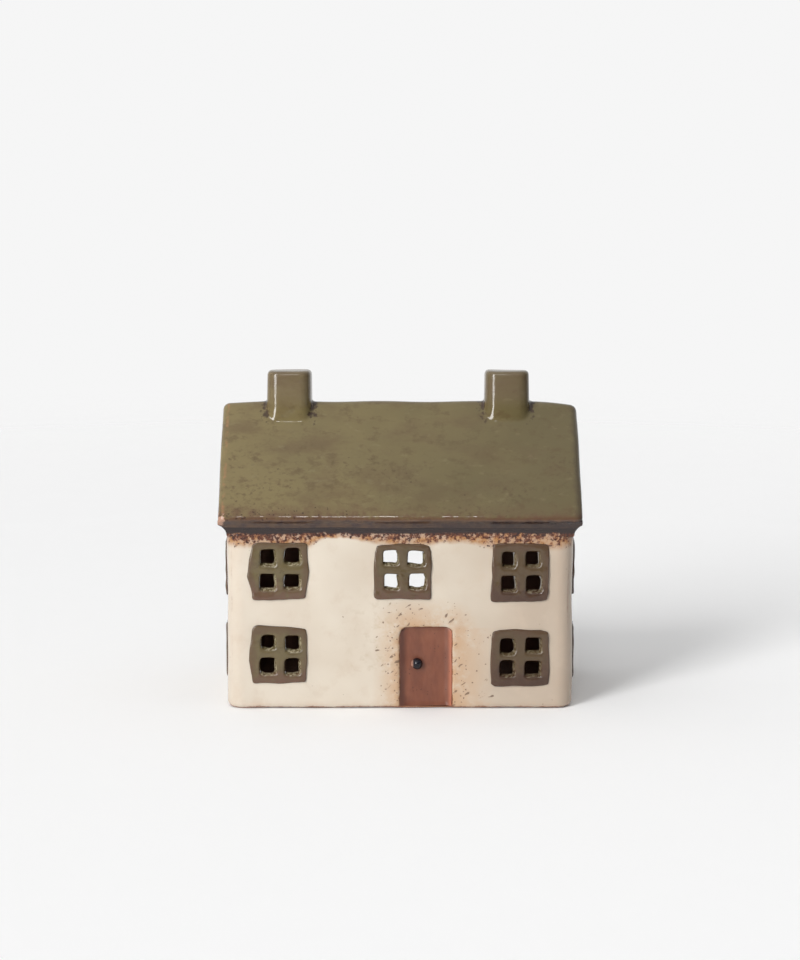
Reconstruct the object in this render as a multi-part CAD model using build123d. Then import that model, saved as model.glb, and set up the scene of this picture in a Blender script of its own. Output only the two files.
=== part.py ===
from build123d import *
import math
import os

# A slab-built stoneware house for one tealight, in millimetres.
# X runs along the ridge, the front faces -Y, Z is up, and the origin lies on the
# table under the middle of the house.

# Walls and floor
wall_width = 124.4
wall_depth = 68.0
wall_thickness = 5.5
floor_thickness = 5.0
corner_radius = 6.0
foot_radius = 2.0

# Roof
ridge_height = 107.6
roof_pitch = 45.0
roof_thickness = 5.0
eaves_overhang = 4.4
gable_overhang = 2.8
ridge_radius = 3.0
roof_edge_radius = 2.4

# Coils of clay pressed into the joint between walls and roof
eaves_coil_leg = 3.4
rake_coil_setback = 0.8

# Chimneys, placed as shares of half the wall width
chimney_width = 16.5
chimney_depth = 15.4
chimney_rise = 11.7
chimney_taper_angle = 0.8
chimney_corner_radius = 4.0
chimney_top_radius = 1.4
left_chimney_share = -0.651
right_chimney_share = 0.629

# Raised windows with four panes cut right through the frame and the wall
window_width = 20.4
window_height = 20.4
window_relief = 0.9
window_corner_radius = 2.2
window_edge_radius = 0.5
pane_width = 5.0
pane_height = 6.3
pane_corner_radius = 1.0
pane_lift = 0.55
mullion_width = 4.0
rail_height = 2.2
pane_clearance = 0.35
gable_window_margin = 7.8

# Window columns as shares of half the wall width, and the plain wall below the lower row
# and between the rows as shares of what the windows leave free
left_column_share = -0.696
middle_column_share = 0.016
right_column_share = 0.693
below_windows_share = 0.412
between_windows_share = 0.476

# Door panel set into a pocket of the front wall, placed as a share of half the wall width
door_width = 18.7
door_sill = 0.8
door_head_rise = 0.5
door_corner_radius = 2.6
door_thickness = 1.6
door_recess = 1.8
door_place_share = 0.15

# Door knob, a bead flattened where it sits on the door, placed as shares of the door
knob_radius = 2.1
knob_seat_depth = 1.1
knob_across_share = 0.326
knob_up_share = 0.54

# Opening in the back wall, where the tealight goes in
arch_width = 46.0
arch_height = 48.0

# Tealight
cup_diameter = 38.0
cup_height = 16.0
cup_wall = 0.4
cup_foot_bevel = 1.2
cup_lip = 0.6
cup_clearance = 0.1
wax_depth = 11.0
wax_clearance = 0.15
meniscus_rise = 0.6
meniscus_width = 1.6
sustainer_diameter = 13.0
sustainer_thickness = 0.5
sustainer_neck_diameter = 3.6
sustainer_neck_height = 4.0
wick_diameter = 1.8
wick_rise = 7.0

# How far a cut runs past the face that it goes through
overrun = 1.0

# Sizes that follow from those above
half_width = wall_width / 2
half_depth = wall_depth / 2
slope = math.radians(roof_pitch)
apex_height = ridge_height + ridge_radius * (1 / math.cos(slope) - 1)
gable_height = apex_height - roof_thickness / math.cos(slope)
wall_height = gable_height - half_depth * math.tan(slope)
eaves_reach = half_depth + eaves_overhang
nose_height = apex_height - eaves_reach * math.tan(slope)
joint_height = nose_height - eaves_overhang / math.tan(slope)
plain_wall_height = joint_height - eaves_coil_leg
roof_length = wall_width + 2 * gable_overhang
inner_width = wall_width - 2 * wall_thickness
inner_depth = wall_depth - 2 * wall_thickness
column_step = pane_width + mullion_width
row_step = pane_height + rail_height
free_height = plain_wall_height - 2 * window_height
lower_row = below_windows_share * free_height + window_height / 2
upper_row = lower_row + window_height + between_windows_share * free_height
gable_column = half_depth - gable_window_margin - window_width / 2
door_height = lower_row + window_height / 2 + door_head_rise - door_sill
cup_radius = cup_diameter / 2
cup_floor = floor_thickness + cup_clearance


def front_plane(across, up):
    """Plane on the outside of the front wall, looking out."""
    return Plane(origin=(across, -half_depth, up), x_dir=(1, 0, 0), z_dir=(0, -1, 0))


def gable_plane(side, along, up):
    """Plane on the outside of a gable, looking out; side is -1 on the left and 1 on the right."""
    return Plane(origin=(side * half_width, along, up), x_dir=(0, side, 0), z_dir=(side, 0, 0))


# Where each window sits: three above and two below on the front, four on each gable
window_planes = {}
left_column = left_column_share * half_width
middle_column = middle_column_share * half_width
right_column = right_column_share * half_width
for column, across in (("left", left_column), ("middle", middle_column), ("right", right_column)):
    window_planes[f"upper_{column}_window"] = front_plane(across, upper_row)
    if column != "middle":
        window_planes[f"lower_{column}_window"] = front_plane(across, lower_row)
for gable, side in (("left", -1), ("right", 1)):
    for row, up in (("upper", upper_row), ("lower", lower_row)):
        for place, along in (("front", -gable_column), ("back", gable_column)):
            node = f"{gable}_gable_{row}_{place}_window"
            window_planes[node] = gable_plane(side, along, up)


def pane_outlines(clearance):
    """The four panes of one window, each grown by the clearance all round."""
    pane = RectangleRounded(
        pane_width + 2 * clearance,
        pane_height + 2 * clearance,
        pane_corner_radius + clearance,
    )
    return [
        Pos(column * column_step / 2, row * row_step / 2 + pane_lift) * pane
        for column in (-1, 1)
        for row in (-1, 1)
    ]


def window_frame(plane):
    """One raised frame with its cross of bars, softened along every front edge."""
    outline = RectangleRounded(window_width, window_height, window_corner_radius)
    frame = extrude(outline - pane_outlines(0), window_relief)
    front_edges = frame.faces().sort_by(Axis.Z)[-1].edges()
    return plane * chamfer(front_edges, window_edge_radius)


def pane_cuts(plane):
    """The pane holes of one window through the wall behind it."""
    cuts = [extrude(pane, -(wall_thickness + overrun)) for pane in pane_outlines(pane_clearance)]
    return [plane * cut for cut in cuts]


def clear_of_underside(edge):
    """Whether an edge at the roof's end belongs to its outer side and not to the underside."""
    middle = edge.center()
    return middle.Z + abs(middle.Y) * math.tan(slope) > gable_height + roof_edge_radius


def whole_roof():
    """Both roof slabs as one folded sheet, rounded over the ridge, the noses and the ends."""
    edge_back = roof_thickness * math.sin(slope)
    edge_drop = roof_thickness * math.cos(slope)
    outline = Polyline(
        (0, apex_height),
        (-eaves_reach, nose_height),
        (-eaves_reach + edge_back, nose_height - edge_drop),
        (0, gable_height),
        (eaves_reach - edge_back, nose_height - edge_drop),
        (eaves_reach, nose_height),
        close=True,
    )
    section = make_face(outline)
    ridge = section.vertices().sort_by(Axis.Y)[-1]
    section = fillet(ridge, ridge_radius)
    noses = section.vertices().group_by(Axis.X)
    section = fillet(noses[0] + noses[-1], roof_edge_radius)
    roof = extrude(Plane.YZ * section, roof_length / 2, both=True)
    ends = roof.faces().sort_by(Axis.X)
    end_edges = ends[0].edges() + ends[-1].edges()
    return fillet(end_edges.filter_by(clear_of_underside), roof_edge_radius)


def wall_block():
    """The full volume of the walls under the roof, with rounded corners and foot."""
    outline = Polyline(
        (-half_depth, 0),
        (half_depth, 0),
        (half_depth, wall_height),
        (0, gable_height),
        (-half_depth, wall_height),
        close=True,
    )
    block = extrude(Plane.YZ * make_face(outline), half_width, both=True)
    block = fillet(block.edges().filter_by(Axis.Z), corner_radius)
    foot_edges = block.faces().sort_by(Axis.Z)[0].edges()
    return fillet(foot_edges, foot_radius)


def wall_ring(block):
    """The block hollowed out, ready to be parted at the mitred corners."""
    cavity = extrude(Rectangle(inner_width, inner_depth), gable_height)
    return block - cavity


def mitred_slab(ring, along, reach):
    """One wall between its two mitres; along and reach turn to the wall's outer face."""
    side_vector = Vector(*along)
    out_vector = Vector(*reach)
    outer_half = abs(side_vector.X) * half_width + abs(side_vector.Y) * half_depth
    outer_reach = abs(out_vector.X) * half_width + abs(out_vector.Y) * half_depth
    inner_half = outer_half - wall_thickness
    inner_reach = outer_reach - wall_thickness
    corners = [
        side_vector * -outer_half + out_vector * outer_reach,
        side_vector * outer_half + out_vector * outer_reach,
        side_vector * inner_half + out_vector * inner_reach,
        side_vector * -inner_half + out_vector * inner_reach,
    ]
    return ring & extrude(make_face(Polyline(*corners, close=True)), gable_height, dir=(0, 0, 1))


def door_outline():
    """The door panel as drawn on the wall, with its two upper corners rounded."""
    panel = Rectangle(door_width, door_height)
    upper_corners = panel.vertices().group_by(Axis.Y)[-1]
    return fillet(upper_corners, door_corner_radius)


def door_plane():
    """Plane on the front wall at the middle of the door."""
    return front_plane(door_place_share * half_width, door_sill + door_height / 2)


def front_wall(ring):
    """Front slab with the pane holes of five windows and the door pocket."""
    slab = mitred_slab(ring, (1, 0), (0, -1))
    for node, plane in window_planes.items():
        if "gable" not in node:
            slab -= pane_cuts(plane)
    pocket = extrude(door_outline(), -(door_recess + door_thickness))
    return slab - door_plane() * pocket


def back_wall(ring):
    """Back slab with the arched opening for the tealight, level with the floor."""
    crown_radius = arch_width / 2
    spring_height = floor_thickness + arch_height - crown_radius
    left_spring = (-crown_radius, spring_height)
    right_spring = (crown_radius, spring_height)
    crown = (0, spring_height + crown_radius)
    arch = ThreePointArc(left_spring, crown, right_spring)
    arch += Polyline(
        right_spring,
        (crown_radius, floor_thickness),
        (-crown_radius, floor_thickness),
        left_spring,
    )
    opening = extrude(Plane.XZ * make_face(arch), -(half_depth + overrun))
    return mitred_slab(ring, (1, 0), (0, 1)) - opening


def gable_wall(ring, gable, side):
    """One gable with the pane holes of its four windows."""
    slab = mitred_slab(ring, (0, 1), (side, 0))
    for node, plane in window_planes.items():
        if node.startswith(f"{gable}_gable"):
            slab -= pane_cuts(plane)
    return slab


def eaves_coil(side, block, roof):
    """Coved coil under one eaves; side is -1 at the front and 1 at the back."""
    edge_direction = Vector(side * math.sin(slope), math.cos(slope))
    joint = Vector(side * half_depth, joint_height)
    wall_end = joint - Vector(0, eaves_coil_leg)
    roof_end = joint + edge_direction * eaves_coil_leg
    inner_reach = half_depth - corner_radius
    inside_roof = (apex_height + gable_height) / 2 - inner_reach * math.tan(slope)
    outline = TangentArc(wall_end, roof_end, tangent=(0, 1))
    outline += Polyline(
        roof_end,
        (side * inner_reach, inside_roof),
        (side * inner_reach, wall_end.Y),
        wall_end,
    )
    coil = extrude(Plane.YZ * make_face(outline), half_width, both=True)
    return coil - block - roof


def rake_coil(side, block, roof, eaves_coils):
    """Coved coil under one end of the roof, bent over at the ridge."""
    leg = gable_overhang - rake_coil_setback
    gable_face = side * half_width
    inner_face = gable_face - side * corner_radius
    outer_end = gable_face + side * leg
    outline = TangentArc((gable_face, -leg), (outer_end, 0), tangent=(0, 1))
    outline += Polyline((outer_end, 0), (inner_face, 0), (inner_face, -leg), (gable_face, -leg))
    section = make_face(outline)
    coil = []
    for run in (-1, 1):
        up_normal = Vector(0, run * math.sin(slope), math.cos(slope))
        rake_plane = Plane(
            origin=(0, 0, gable_height),
            x_dir=(1, 0, 0),
            z_dir=Vector(1, 0, 0).cross(up_normal),
        )
        strip = extrude(rake_plane * section, wall_depth / math.cos(slope), both=True)
        half_house = Pos(0, run * half_depth / 2, gable_height / 2) * Box(
            roof_length, half_depth, 2 * gable_height
        )
        coil.append(strip & half_house)
    return coil[0] + coil[1] - block - roof - eaves_coils


def chimney(place_share, block, roof):
    """Solid chimney astride the ridge, saddled to the roof, a little narrower at the top."""
    meet_height = apex_height - chimney_depth / 2 * math.tan(slope)
    rise = ridge_height + chimney_rise - meet_height
    foot = RectangleRounded(chimney_width, chimney_depth, chimney_corner_radius)
    shaft = extrude(foot, rise, taper=chimney_taper_angle)
    shaft = fillet(shaft.faces().sort_by(Axis.Z)[-1].edges(), chimney_top_radius)
    return Pos(place_share * half_width, 0, meet_height) * shaft - block - roof


def front_door():
    """Plain door panel at the bottom of its pocket."""
    panel = extrude(door_outline(), door_thickness)
    return door_plane() * Pos(0, 0, -(door_recess + door_thickness)) * panel


def door_knob():
    """Bead pressed on the door, cut flat at its seat."""
    across = (knob_across_share - 1 / 2) * door_width
    up = (knob_up_share - 1 / 2) * door_height
    bead = Pos(0, 0, knob_seat_depth) * Sphere(knob_radius)
    bead &= Pos(0, 0, knob_radius) * Box(2 * knob_radius, 2 * knob_radius, 2 * knob_radius)
    return door_plane() * Pos(across, up, -door_recess) * bead


def tealight_cup():
    """Thin pressed metal cup with a bevelled foot and a lip turned outwards at the rim."""
    wall_radius = cup_radius - cup_lip
    inner_radius = wall_radius - cup_wall
    outline = Polyline(
        (0, 0),
        (wall_radius - cup_foot_bevel, 0),
        (wall_radius, cup_foot_bevel),
        (wall_radius, cup_height - cup_lip - cup_wall),
        (cup_radius, cup_height - cup_wall),
        (cup_radius, cup_height),
        (wall_radius, cup_height),
        (inner_radius, cup_height - cup_lip),
        (inner_radius, cup_foot_bevel + cup_wall),
        (inner_radius - cup_foot_bevel, cup_wall),
        (0, cup_wall),
        close=True,
    )
    return Pos(0, 0, cup_floor) * revolve(Plane.XZ * make_face(outline), Axis.Z)


def wick_sustainer():
    """Metal disc with a crimped neck that holds the wick upright."""
    base = cup_floor + cup_wall
    disc = extrude(Circle(sustainer_diameter / 2), sustainer_thickness)
    neck = extrude(Circle(sustainer_neck_diameter / 2), sustainer_neck_height)
    bore = Pos(0, 0, sustainer_thickness) * extrude(Circle(wick_diameter / 2), sustainer_neck_height)
    return Pos(0, 0, base) * (disc + neck - bore)


def tealight_wick():
    """Round cotton wick, standing in the neck and out of the wax."""
    base = cup_floor + cup_wall + sustainer_thickness
    length = wax_depth + wick_rise - sustainer_thickness
    wick = Pos(0, 0, base) * extrude(Circle(wick_diameter / 2), length)
    return chamfer(wick.edges().sort_by(Axis.Z)[-1], wick_diameter / 4)


def tealight_wax(inner_pieces):
    """Wax fill, a little higher where it clings to the cup."""
    wax_radius = cup_radius - cup_lip - cup_wall - wax_clearance
    outline = Polyline(
        (0, 0),
        (wax_radius - cup_foot_bevel, 0),
        (wax_radius, cup_foot_bevel),
        (wax_radius, wax_depth + meniscus_rise),
        (wax_radius - meniscus_width, wax_depth),
        (0, wax_depth),
        close=True,
    )
    wax = revolve(Plane.XZ * make_face(outline), Axis.Z)
    return Pos(0, 0, cup_floor + cup_wall) * wax - inner_pieces


def house():
    """All pieces by node name."""
    roof = whole_roof()
    block = wall_block()
    ring = wall_ring(block)
    pieces = {
        "floor_slab": extrude(Rectangle(inner_width, inner_depth), floor_thickness),
        "front_wall": front_wall(ring),
        "back_wall": back_wall(ring),
        "left_gable": gable_wall(ring, "left", -1),
        "right_gable": gable_wall(ring, "right", 1),
        "front_roof_slab": split(roof, Plane.XZ, Keep.TOP),
        "back_roof_slab": split(roof, Plane.XZ, Keep.BOTTOM),
        "front_eaves_coil": eaves_coil(-1, block, roof),
        "back_eaves_coil": eaves_coil(1, block, roof),
    }
    eaves_coils = [pieces["front_eaves_coil"], pieces["back_eaves_coil"]]
    pieces["left_rake_coil"] = rake_coil(-1, block, roof, eaves_coils)
    pieces["right_rake_coil"] = rake_coil(1, block, roof, eaves_coils)
    pieces["left_chimney"] = chimney(left_chimney_share, block, roof)
    pieces["right_chimney"] = chimney(right_chimney_share, block, roof)
    for node, plane in window_planes.items():
        pieces[node] = window_frame(plane)
    pieces["front_door"] = front_door()
    pieces["door_knob"] = door_knob()
    pieces["tealight_cup"] = tealight_cup()
    pieces["wick_sustainer"] = wick_sustainer()
    pieces["tealight_wick"] = tealight_wick()
    inner_pieces = [pieces["wick_sustainer"], pieces["tealight_wick"]]
    pieces["tealight_wax"] = tealight_wax(inner_pieces)
    return pieces


os.makedirs("parts", exist_ok=True)
for node, piece in house().items():
    export_step(piece, f"parts/{node}.step")
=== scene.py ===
import math

import bmesh
import bpy
import numpy as np
from mathutils import Matrix, Vector


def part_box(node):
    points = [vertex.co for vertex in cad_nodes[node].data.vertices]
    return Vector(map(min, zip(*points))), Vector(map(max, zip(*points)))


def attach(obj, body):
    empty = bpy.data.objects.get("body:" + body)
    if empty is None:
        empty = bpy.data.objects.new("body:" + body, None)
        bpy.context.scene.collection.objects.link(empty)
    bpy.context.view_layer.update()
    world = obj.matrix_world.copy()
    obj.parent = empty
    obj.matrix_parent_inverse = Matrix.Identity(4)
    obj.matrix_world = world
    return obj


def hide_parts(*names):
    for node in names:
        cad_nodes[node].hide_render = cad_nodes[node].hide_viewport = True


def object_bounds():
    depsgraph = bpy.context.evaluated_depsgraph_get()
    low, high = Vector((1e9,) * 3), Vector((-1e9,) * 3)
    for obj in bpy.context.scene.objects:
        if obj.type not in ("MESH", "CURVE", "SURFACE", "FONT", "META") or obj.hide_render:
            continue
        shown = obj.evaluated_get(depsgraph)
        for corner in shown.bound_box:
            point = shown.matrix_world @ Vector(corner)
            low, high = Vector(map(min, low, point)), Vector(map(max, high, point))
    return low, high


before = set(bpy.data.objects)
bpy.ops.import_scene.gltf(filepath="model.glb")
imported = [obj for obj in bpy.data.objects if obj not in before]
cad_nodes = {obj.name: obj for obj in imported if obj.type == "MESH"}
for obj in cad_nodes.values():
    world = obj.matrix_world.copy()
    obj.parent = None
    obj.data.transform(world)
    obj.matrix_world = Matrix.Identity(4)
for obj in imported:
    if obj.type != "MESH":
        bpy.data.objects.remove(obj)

cad_box = [list(corner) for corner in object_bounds()]


# Floor slab
# A rolled sheet of dark stoneware, cut to fit between the walls and luted in.
# It stays unglazed: bare fired clay with grit, seen through the arch and from below.

MM = 0.001


def set_inputs(tree, node, inputs):
    """Links or sets each input of a node that is named or numbered in inputs."""
    for key, value in inputs.items():
        if isinstance(value, bpy.types.NodeSocket):
            tree.links.new(value, node.inputs[key])
        else:
            node.inputs[key].default_value = value


def add_node(tree, kind, inputs=None, **settings):
    """Adds a node and sets its properties and its inputs."""
    made = tree.nodes.new(kind)
    for name, value in settings.items():
        setattr(made, name, value)
    set_inputs(tree, made, inputs or {})
    return made


def calc(tree, operation, first, second=0.0, third=None, clamp=False):
    """One Math node; returns its result."""
    inputs = {0: first, 1: second}
    if third is not None:
        inputs[2] = third
    return add_node(tree, "ShaderNodeMath", inputs, operation=operation, use_clamp=clamp).outputs[0]


def times(tree, first, second):
    """The product of two values."""
    return calc(tree, "MULTIPLY", first, second)


def vector_calc(tree, operation, first, second):
    """One Vector Math node; returns its vector."""
    return add_node(tree, "ShaderNodeVectorMath", {0: first, 1: second}, operation=operation).outputs[0]


def new_finish(name):
    """A new material; returns it, its tree and its shader."""
    finish = bpy.data.materials.new(name)
    finish.use_nodes = True
    shader = finish.node_tree.nodes["Principled BSDF"]
    return finish, finish.node_tree, shader


def place_mm(tree):
    """The point being shaded, in millimetres of the house's own frame."""
    place = add_node(tree, "ShaderNodeTexCoord").outputs["Object"]
    return vector_calc(tree, "MULTIPLY", place, (1 / MM, 1 / MM, 1 / MM))


def stretched(tree, place, across, deep, up):
    """The same point with each axis scaled, so that a pattern runs longer along some axes."""
    return vector_calc(tree, "MULTIPLY", place, (across, deep, up))


def cloud(tree, place, size, detail=3.0, roughness=0.55):
    """Soft noise whose blotches are about size millimetres across, from 0 to 1."""
    inputs = {"Vector": place, "Scale": 1 / size, "Detail": detail, "Roughness": roughness}
    return add_node(tree, "ShaderNodeTexNoise", inputs).outputs["Fac"]


def fade(tree, value, start, end):
    """0 at start and 1 at end, with a soft change between; start may be above end."""
    inputs = {"Value": value, "From Min": start, "From Max": end}
    made = add_node(tree, "ShaderNodeMapRange", inputs, interpolation_type="SMOOTHSTEP", clamp=True)
    return made.outputs["Result"]


def swayed(tree, value, noise, size):
    """A value moved up and down by a noise, over size in all."""
    return calc(tree, "MULTIPLY_ADD", calc(tree, "SUBTRACT", noise, 0.5), size, value)


def blend_colour(tree, share, under, over):
    """Colour over laid on colour under where share is 1."""
    made = add_node(tree, "ShaderNodeMix", {0: share, 6: under, 7: over}, data_type="RGBA")
    return made.outputs[2]


def srgb(red, green, blue):
    """A colour as seen on a screen, 0 to 255, as the linear colour that a shader takes."""
    def linear(level):
        level /= 255
        return level / 12.92 if level <= 0.04045 else ((level + 0.055) / 1.055) ** 2.4
    return (linear(red), linear(green), linear(blue), 1.0)


def tint(tree, under, share, strength, colour):
    """A screen colour laid on colour under, as strongly as share times strength."""
    return blend_colour(tree, times(tree, share, strength), under, srgb(*colour))


def specks(tree, place, cell, least, most, chance):
    """Irregular dots, one at most in each cell; chance is the share of cells that have one."""
    shake = add_node(tree, "ShaderNodeTexNoise", {"Vector": place, "Scale": 2.2 / cell, "Detail": 2.0})
    push = vector_calc(tree, "MULTIPLY", shake.outputs["Color"], (cell, cell, cell))
    shaken = vector_calc(tree, "ADD", place, push)
    cells = add_node(tree, "ShaderNodeTexVoronoi", {"Vector": shaken, "Scale": 1 / cell})
    draw = add_node(tree, "ShaderNodeSeparateColor", {0: cells.outputs["Color"]})
    radius = calc(tree, "MULTIPLY_ADD", draw.outputs[1], most - least, least)
    inner = times(tree, radius, 0.55)
    dot = fade(tree, cells.outputs["Distance"], radius, inner)
    kept = calc(tree, "LESS_THAN", draw.outputs[0], chance)
    return times(tree, dot, kept)


def surface_ripple(tree, shader, height, depth_mm, strength=1.0):
    """Gives the shader a bump of the given depth."""
    inputs = {"Height": height, "Distance": depth_mm * MM, "Strength": strength}
    bump = add_node(tree, "ShaderNodeBump", inputs)
    tree.links.new(bump.outputs[0], shader.inputs["Normal"])


def bare_clay():
    """Dark stoneware without glaze, with paler and darker grit."""
    finish, tree, shader = new_finish("bare_clay")
    place = place_mm(tree)
    tone = blend_colour(tree, cloud(tree, place, 9.0), srgb(94, 66, 52), srgb(124, 90, 70))
    grit = specks(tree, place, 1.1, 0.18, 0.42, 0.5)
    tone = tint(tree, tone, grit, 0.6, (150, 118, 94))
    set_inputs(tree, shader, {"Base Color": tone, "Roughness": 0.82})
    surface_ripple(tree, shader, cloud(tree, place, 0.8, 4.0), 0.12)
    return finish


def loose_object(name, mesh=None):
    """A new object in the scene."""
    made = bpy.data.objects.new(name, mesh or bpy.data.meshes.new(name))
    bpy.context.scene.collection.objects.link(made)
    return made


def evaluated_mesh(piece):
    """The mesh of an object with its modifiers applied; the object is then dropped."""
    evaluated = piece.evaluated_get(bpy.context.evaluated_depsgraph_get())
    mesh = bpy.data.meshes.new_from_object(evaluated)
    bpy.data.objects.remove(piece)
    return mesh


def mesh_from(shape, name):
    """A new mesh from a shape being built, which is then freed."""
    mesh = bpy.data.meshes.new(name)
    shape.to_mesh(mesh)
    shape.free()
    return mesh


def joined_copy(name, meshes):
    """One object from several meshes, with doubled points merged."""
    shape = bmesh.new()
    for mesh in meshes:
        shape.from_mesh(mesh)
    bmesh.ops.remove_doubles(shape, verts=shape.verts, dist=1e-6)
    return loose_object(name, mesh_from(shape, name))


def sponged(piece, voxel, passes):
    """An even skin over a piece, with its edges rounded as by a wet sponge."""
    skin = piece.modifiers.new("even_skin", "REMESH")
    skin.mode = "VOXEL"
    skin.voxel_size = voxel
    soft = piece.modifiers.new("sponge", "SMOOTH")
    soft.factor = 0.5
    soft.iterations = passes
    return evaluated_mesh(piece)


def mesh_points(mesh, field="co"):
    """The points of a mesh, or their normals, as rows of x, y, z."""
    flat = np.zeros(len(mesh.vertices) * 3)
    mesh.vertices.foreach_get(field, flat)
    return flat.reshape(-1, 3)


def set_points(mesh, points):
    """Puts the points of a mesh where the rows say."""
    mesh.vertices.foreach_set("co", points.astype(np.float32).ravel())
    mesh.update()


def hand_wobble(mesh, amount, wavelength, seed):
    """Moves the skin in and out a little along its normals, in slow waves of a fixed seed."""
    points = mesh_points(mesh)
    count = 9
    draw = np.random.default_rng(seed)
    waves = draw.normal(size=(count, 3))
    lengths = wavelength * draw.uniform(0.6, 1.6, size=count)
    waves *= (2 * math.pi / lengths / np.linalg.norm(waves, axis=1))[:, None]
    phases = draw.uniform(0, 2 * math.pi, size=count)
    rise = amount * np.sin(points @ waves.T + phases).sum(axis=1) / math.sqrt(count)
    set_points(mesh, points + mesh_points(mesh, "normal") * rise[:, None])


def finished_piece(name, mesh, finish, node=None, body="house"):
    """Makes a finished mesh a piece of a body: smooth, painted, riding on it, in place of its node."""
    mesh.materials.clear()
    mesh.materials.append(finish)
    mesh.polygons.foreach_set("use_smooth", np.ones(len(mesh.polygons), dtype=bool))
    mesh.polygons.foreach_set("material_index", np.zeros(len(mesh.polygons), dtype=np.int32))
    piece = loose_object(name, mesh)
    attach(piece, body)
    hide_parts(node or name.replace("_glazed", ""))


base_mesh = sponged(joined_copy("base_draft", [cad_nodes["floor_slab"].data]), 0.8 * MM, 1)
hand_wobble(base_mesh, 0.14 * MM, 11 * MM, 5)
base_low, base_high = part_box("floor_slab")
set_points(base_mesh, mesh_points(base_mesh).clip(base_low, base_high))
finished_piece("floor_slab_rolled", base_mesh, bare_clay(), "floor_slab")


# Walls
# Four rolled slabs of dark stoneware, mitred and luted at the corners, with the edges
# sponged round. The outside is dipped in a glossy cream glaze, thin and tan on edges,
# burnt to rust under the eaves and freckled with iron round the door.

half_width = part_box("right_gable")[1].x
half_depth = -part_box("front_wall")[0].y
gable_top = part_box("left_gable")[1].z
clay_voxel = 0.55 * MM

# Hand-cut panes of the five front windows, in millimetres from the middle of the frame:
# place across, place up, width, height and squareness, from the upper left pane row by row.
pane_cuts = {
    "upper_left_window": (
        (-4.25, 5.3, 4.6, 6.2, 6.0),
        (4.6, 5.9, 5.3, 6.5, 3.0),
        (-4.4, -3.5, 4.8, 6.4, 6.0),
        (4.4, -3.35, 5.1, 5.9, 6.0),
    ),
    "upper_middle_window": (
        (-4.7, 5.35, 4.7, 5.6, 5.0),
        (4.5, 5.15, 5.4, 5.6, 5.0),
        (-4.35, -3.3, 4.5, 5.9, 5.0),
        (4.9, -3.25, 5.3, 5.9, 5.0),
    ),
    "upper_right_window": (
        (-4.55, 4.6, 4.0, 6.0, 5.0),
        (4.05, 4.9, 4.3, 5.8, 6.0),
        (-4.5, -4.1, 4.5, 6.2, 6.0),
        (4.5, -4.2, 4.8, 6.4, 6.0),
    ),
    "lower_left_window": (
        (-4.4, 5.3, 4.6, 5.6, 3.0),
        (4.5, 4.8, 4.7, 6.1, 5.0),
        (-4.5, -3.4, 5.2, 6.5, 5.0),
        (4.25, -3.7, 5.0, 6.4, 4.0),
    ),
    "lower_right_window": (
        (-4.85, 3.7, 4.6, 6.4, 4.0),
        (4.55, 4.2, 4.9, 5.9, 6.0),
        (-4.85, -4.35, 4.7, 6.4, 4.0),
        (4.4, -4.45, 5.2, 6.0, 6.0),
    ),
}

# Hand-cut outlines of the same frames, in millimetres: shift of the middle across and up,
# width, height, then three bulges or dents, each its place, height and spread.
frame_cuts = {
    "upper_left_window": (
        0.2, 0.5, 19.9, 20.8, (-10.0, 0.0, 1.8, 6.0), (10.2, -0.5, 0.9, 0.8), (10.0, -10.0, -0.5, 4.0)
    ),
    "upper_middle_window": (
        0.0, 0.4, 20.7, 20.2, (-9.8, 9.8, -0.9, 2.6), (9.8, 9.8, -0.5, 2.2), (-10.0, 2.0, 0.4, 4.0)
    ),
    "upper_right_window": (
        0.0, 0.0, 20.4, 21.0, (-10.0, -8.0, 0.8, 3.5), (10.0, -10.2, -0.5, 2.0), (-9.8, 9.8, -0.3, 2.0)
    ),
    "lower_left_window": (
        0.0, 0.4, 20.0, 20.6, (-5.0, 10.2, 1.2, 4.0), (-10.2, 0.8, 1.1, 5.4), (10.0, -10.0, -0.5, 3.6)
    ),
    "lower_right_window": (
        0.0, -0.3, 21.2, 20.8, (-10.0, 10.0, -0.8, 2.6), (1.0, 10.3, -0.6, 1.6), (10.0, 10.0, -0.9, 2.6)
    ),
}
front_windows = list(frame_cuts)
gable_windows = sorted(name for name in cad_nodes if "_gable_" in name)
window_patterns = {name: name for name in front_windows}
for turn, name in enumerate(gable_windows):
    window_patterns[name] = front_windows[(2 * turn + 1) % len(front_windows)]


def axes(tree, place):
    """The x, y and z of a point."""
    return add_node(tree, "ShaderNodeSeparateXYZ", {0: place}).outputs


def tree_with_sockets(name, inputs):
    """An empty geometry tree with named inputs; returns it, its inputs and its output node."""
    tree = bpy.data.node_groups.new(name, "GeometryNodeTree")
    for label, kind in inputs:
        tree.interface.new_socket(label, in_out="INPUT", socket_type="NodeSocket" + kind)
    tree.interface.new_socket("Geometry", in_out="OUTPUT", socket_type="NodeSocketGeometry")
    return tree, add_node(tree, "NodeGroupInput").outputs, add_node(tree, "NodeGroupOutput")


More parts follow.
